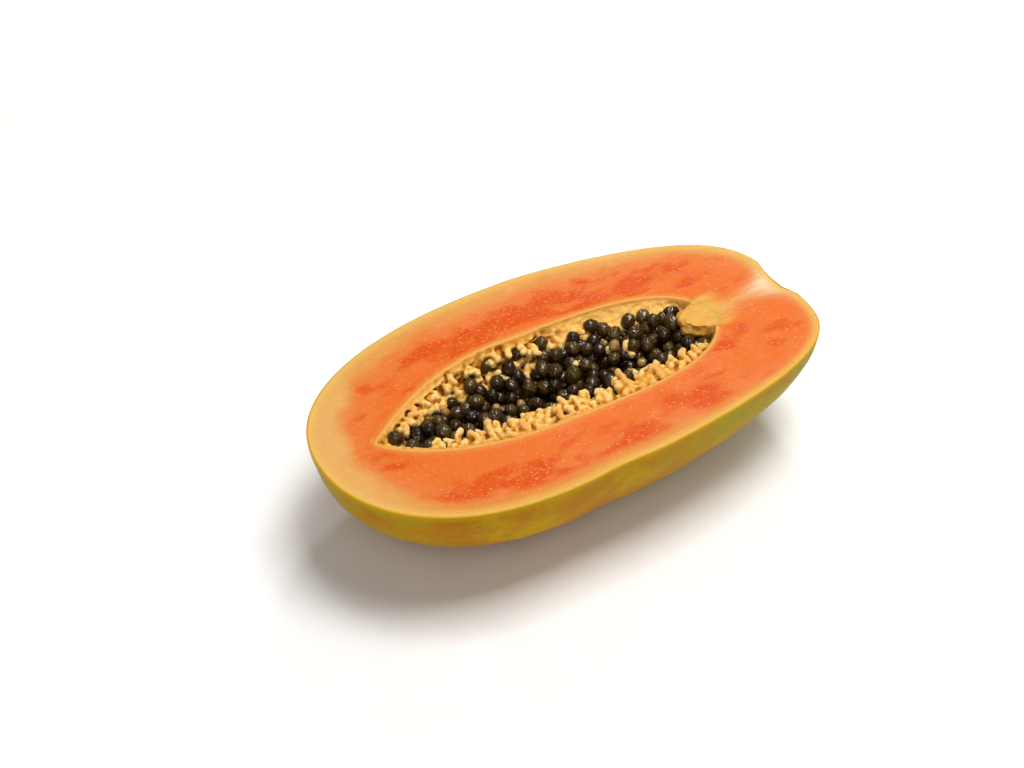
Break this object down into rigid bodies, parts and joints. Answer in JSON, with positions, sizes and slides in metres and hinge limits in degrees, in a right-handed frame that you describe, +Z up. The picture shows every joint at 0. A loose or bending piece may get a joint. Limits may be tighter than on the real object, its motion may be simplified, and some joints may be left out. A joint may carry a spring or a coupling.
{
  "type": "papaya half",
  "caption": "Ripe papaya cut lengthwise, lying on its back with the cut face up and dark seeds still in the pulp-lined hollow.",
  "frame": {"origin": "centre of the half's box on the surface that it rests on, under the level cut face", "axes": "+X from the blossom end towards the stem end, +Y across the cut face, +Z up out of the cut face"},
  "size_m": [0.2253, 0.1199, 0.0588],
  "materials": {
    "flesh": "wet cut fruit flesh with a thin waxy skin",
    "pulp": "soft moist pulp",
    "seed": "wet, wrinkled seed coats"
  },
  "bodies": {
    "root": {"flesh_half": "flesh", "pulp_lining": "pulp", "seed_heap": "seed"}
  },
  "joints": []
}
